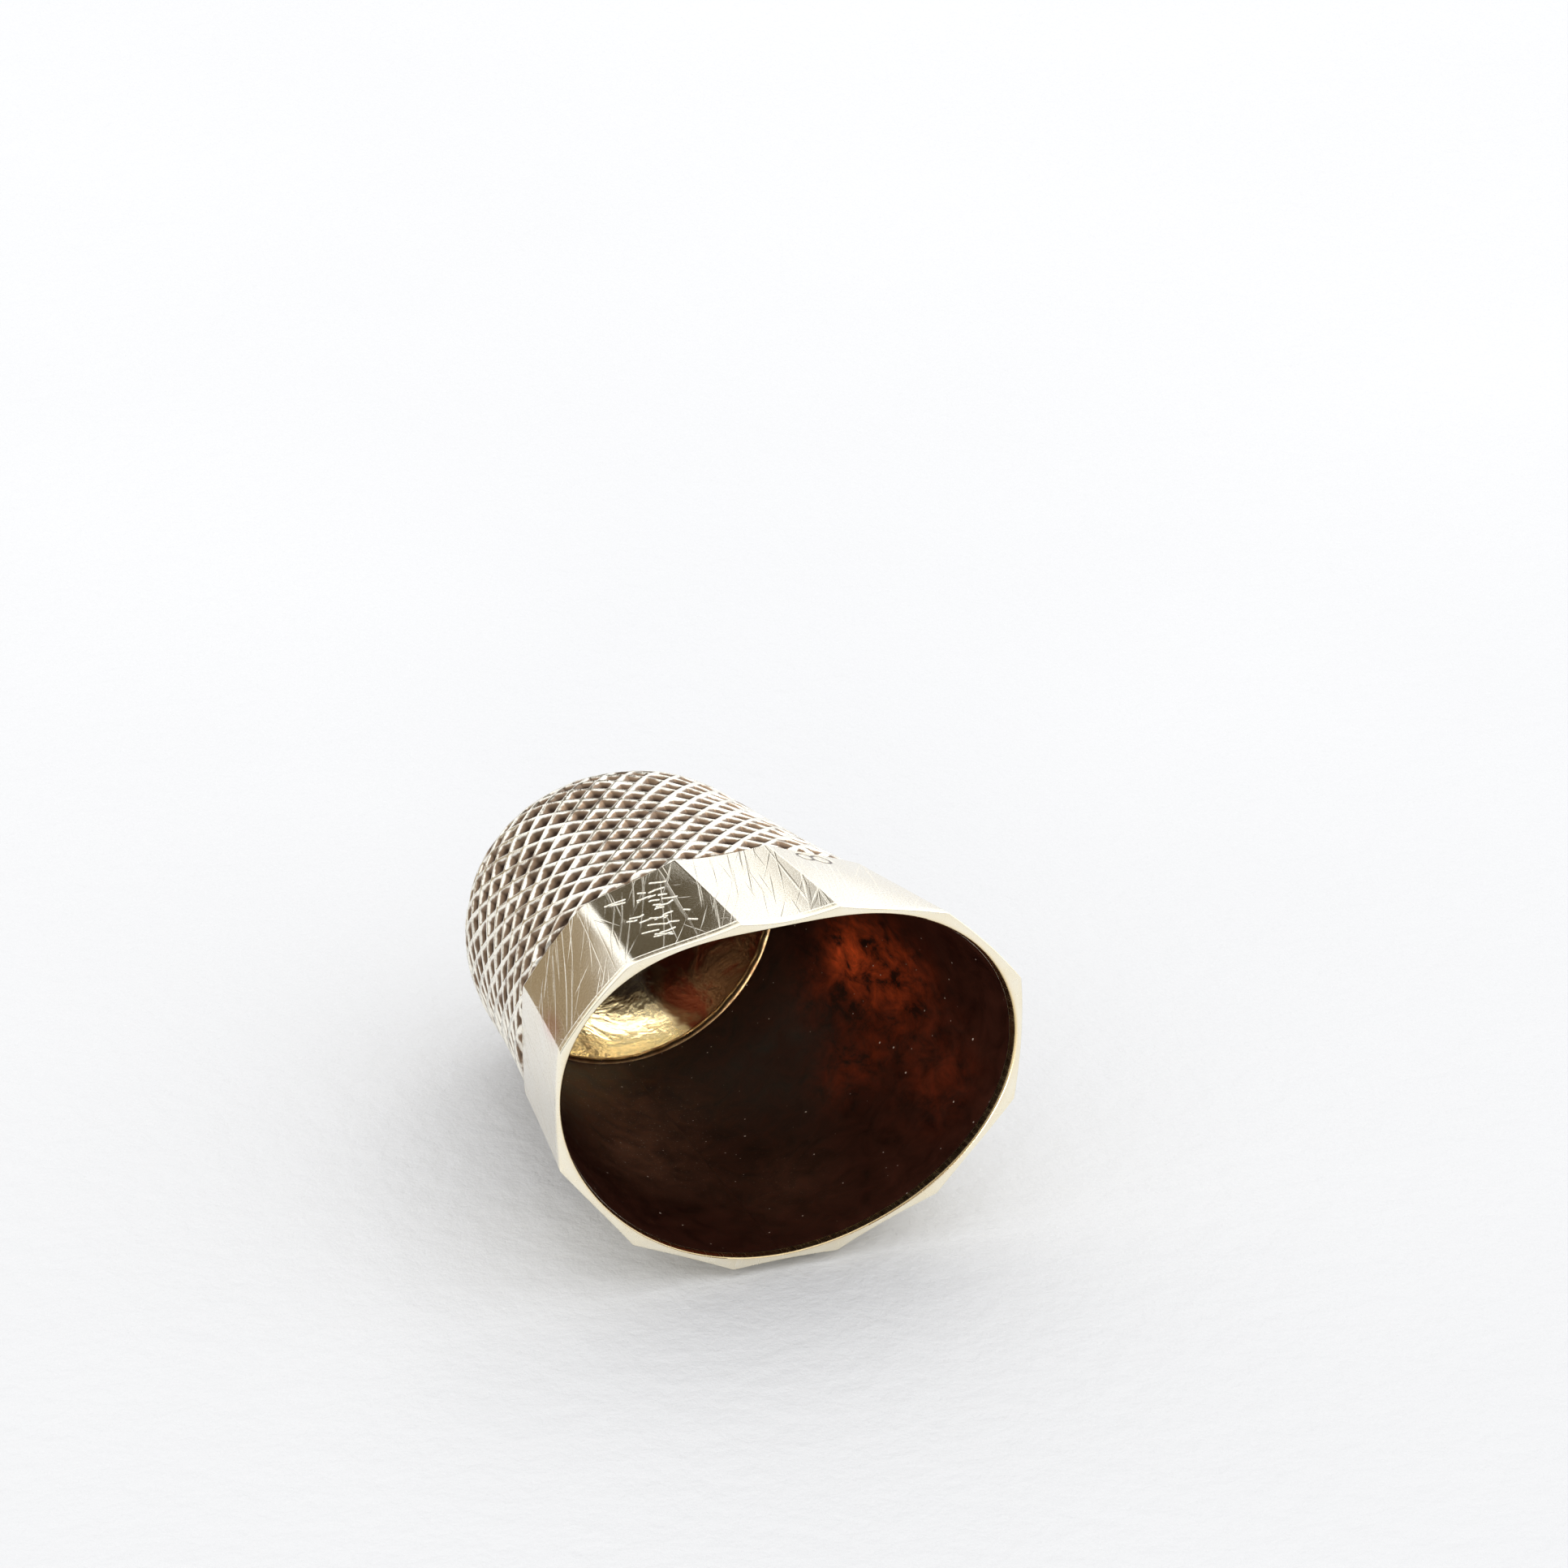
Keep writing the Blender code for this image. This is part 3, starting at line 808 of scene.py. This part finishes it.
def seam_bead_piece():
    """Uneven bead of solder round the seam inside, whose back is sunk into the wall and cap."""
    columns, sunk = 408, 0.02
    low, high = SEAM_Z - 1.5 * FILLET_SIZE, SEAM_Z + FILLET_SIZE
    angle = FIRST_CREST + math.tau * np.arange(columns)[None, :] / columns
    lumps = 0.02 * ripple(angle / math.tau, 0.0, seed=51, size=0.2)
    shares = np.linspace(0, 1, 9)[:, None]
    level = low + (high - low) * shares
    swell = np.sin(math.pi * shares)
    proud = 0.01 + 0.9 * FILLET_SIZE * swell ** 0.7
    front = squash(bore(level) - proud + lumps * swell, angle, level)
    back = squash(bore(high) + sunk, angle, np.full((1, 1), high))
    base = squash(bore(low) + sunk, angle, np.full((1, 1), low))
    return skin("seam_bead_fine", stack(base, back, front[::-1]), [SOLDER_GOLD])


KNURL, HOLLOW, DOME = knurl_material(), hollow_material(), dome_material()
BAND, RIM, SOLDER_GOLD = band_material(), rim_material(), solder_material()
for make, node, slot in ((knurled_wall_piece, "knurled_wall", "wall"),
                         (knurled_cap_piece, "knurled_cap", "cap"),
                         (faceted_band_piece, "faceted_band", "band"),
                         (rim_ring_piece, "rim_ring", "rim"),
                         (seam_bead_piece, "seam_fillet", "solder")):
    made = make()
    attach(made, "root")
    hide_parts(node)


# ------------------------------------------------------------------ floor, light and camera

def flat_piece(name, corners, material):
    """Flat four-cornered piece of the stage."""
    mesh = bpy.data.meshes.new(name)
    mesh.from_pydata(corners, [], [(0, 1, 2, 3)])
    mesh.materials.append(material)
    piece = bpy.data.objects.new(name, mesh)
    bpy.context.scene.collection.objects.link(piece)
    return piece


def floor():
    """Sheet of white paper, far larger than the view."""
    half = 1.6
    corners = [(-half, -half, 0), (half, -half, 0), (half, half, 0), (-half, half, 0)]
    sheet = flat_piece("floor", corners, paper_material())


def direction(azimuth, elevation):
    """Unit vector from the thimble towards a place in the room. Azimuth 0 is the front, 90 the right."""
    a, e = math.radians(azimuth), math.radians(elevation)
    return Vector((math.sin(a) * math.cos(e), -math.cos(a) * math.cos(e), math.sin(e)))


def room():
    """Pale room. Reflections see it brighter behind on the right, and everything else sees it plain."""
    world = bpy.data.worlds.new("room")
    bpy.context.scene.world = world
    world.use_nodes = True
    tree = world.node_tree
    dim, bright = (0.48, 0.482, 0.49, 1), (1.38, 1.38, 1.38, 1)
    plain, backdrop = (1.215, 1.215, 1.22, 1), (0.93, 0.935, 0.945, 1)
    outwards = add(tree, "TexCoord")["Generated"]
    brightness = vector_node(tree, "DOT_PRODUCT", outwards, direction(145, 22), "Value")
    mirrored = mix_colour(tree, remap(tree, brightness, -0.35, 0.75, smooth=True), dim, bright)
    path = add(tree, "LightPath")
    colour = mix_colour(tree, path["Is Glossy Ray"], plain, mirrored)
    colour = mix_colour(tree, path["Is Camera Ray"], colour, backdrop)
    tree.links.new(colour, tree.nodes["Background"].inputs["Color"])


def reflected_card(name, left, right, y, bottom, top, colour_of):
    """Upright card that only reflections see. colour_of gives its cover and colour from the place."""
    material = bpy.data.materials.new(name)
    material.use_nodes = True
    tree = material.node_tree
    tree.nodes.remove(tree.nodes["Principled BSDF"])
    place = add(tree, "SeparateXYZ", {"Vector": add(tree, "TexCoord")["Object"]})
    cover, colour = colour_of(tree, place)
    glow = add(tree, "Emission", {"Color": colour, "Strength": 1.0})["Emission"]
    clear = add(tree, "BsdfTransparent")["BSDF"]
    both = add(tree, "MixShader", {0: cover, 1: clear, 2: glow})["Shader"]
    tree.links.new(both, tree.nodes["Material Output"].inputs["Surface"])
    corners = [(left, y, bottom), (right, y, bottom), (right, y, top), (left, y, top)]
    card = flat_piece(name, corners, material)
    card.visible_camera = card.visible_diffuse = card.visible_shadow = False


def dim_card():
    """Card behind the thimble: brown low on the left, a clear gap, then olive higher up to the right.

    Its edges fade over a few millimetres. Places on it are in metres.
    """
    def colour_of(tree, place):
        x, z = place["X"], place["Z"]
        olive, brown = (0.115, 0.094, 0.062, 1), (0.36, 0.28, 0.18, 1)
        brown_side = math_node(tree, "MULTIPLY", remap(tree, x, -0.0115, -0.0095, 1.0, 0.0, smooth=True),
                               remap(tree, z, 0.019, 0.025, 1.0, 0.0))
        olive_side = math_node(tree, "MULTIPLY", remap(tree, x, -0.004, -0.002, smooth=True),
                               remap(tree, x, 0.0172, 0.0222, 1.0, 0.0))
        olive_side = math_node(tree, "MULTIPLY", olive_side, remap(tree, z, 0.015, 0.02))
        cover = math_node(tree, "ADD", brown_side, olive_side, clamp=True)
        return cover, mix_colour(tree, brown_side, olive, brown)
    reflected_card("dim_card", left=-0.06, right=0.032, y=0.06, bottom=0.0, top=0.055,
                   colour_of=colour_of)


def front_card():
    """Dim card far in front, browner on the left, which fades out towards its lower edge."""
    def colour_of(tree, place):
        left_tone, right_tone = (0.27, 0.19, 0.125, 1), (0.22, 0.18, 0.145, 1)
        cover = remap(tree, place["Z"], 0.10, 0.20, smooth=True)
        return cover, mix_colour(tree, remap(tree, place["X"], -0.5, 0.5), left_tone, right_tone)
    reflected_card("front_card", left=-0.8, right=0.8, y=-0.5, bottom=0.1, top=1.1, colour_of=colour_of)


def soft_light(name, towards, distance, size, watts, colour, reflected=True):
    """Square area light that faces the thimble."""
    data = bpy.data.lights.new(name, "AREA")
    data.size, data.energy, data.color = size, watts, colour
    lamp = bpy.data.objects.new(name, data)
    lamp.location = towards * distance
    lamp.rotation_euler = towards.to_track_quat("Z", "Y").to_euler()
    lamp.visible_glossy = reflected
    bpy.context.scene.collection.objects.link(lamp)


def camera():
    """Camera at the photograph's viewing angle."""
    data = bpy.data.cameras.new("camera")
    data.sensor_width, data.lens = SENSOR_WIDTH, FOCAL_LENGTH
    data.clip_start, data.clip_end = NEAREST, FARTHEST
    forward = (CAMERA_AIM - CAMERA_AT).normalized()
    right = Matrix.Rotation(CAMERA_ROLL, 3, forward) @ forward.cross(Vector((0, 0, 1))).normalized()
    up = right.cross(forward)
    turn = Matrix((right, up, -forward)).transposed().to_4x4()
    eye = bpy.data.objects.new("camera", data)
    eye.matrix_world = Matrix.Translation(CAMERA_AT) @ turn
    bpy.context.scene.collection.objects.link(eye)
    bpy.context.scene.camera = eye


floor()
room()
dim_card()
front_card()
soft_light("key", direction(132, 46), distance=0.5, size=0.17, watts=0.18, colour=(1.0, 0.985, 0.955))
soft_light("window", direction(165, 58), distance=0.55, size=0.5, watts=0.29, colour=(1.0, 1.0, 1.0),
           reflected=False)
soft_light("fill", direction(-20, 5), distance=0.35, size=0.13, watts=0.46, colour=(1.0, 0.97, 0.9))
camera()
bpy.context.scene.view_settings.view_transform = "Standard"

bpy.context.view_layer.update()
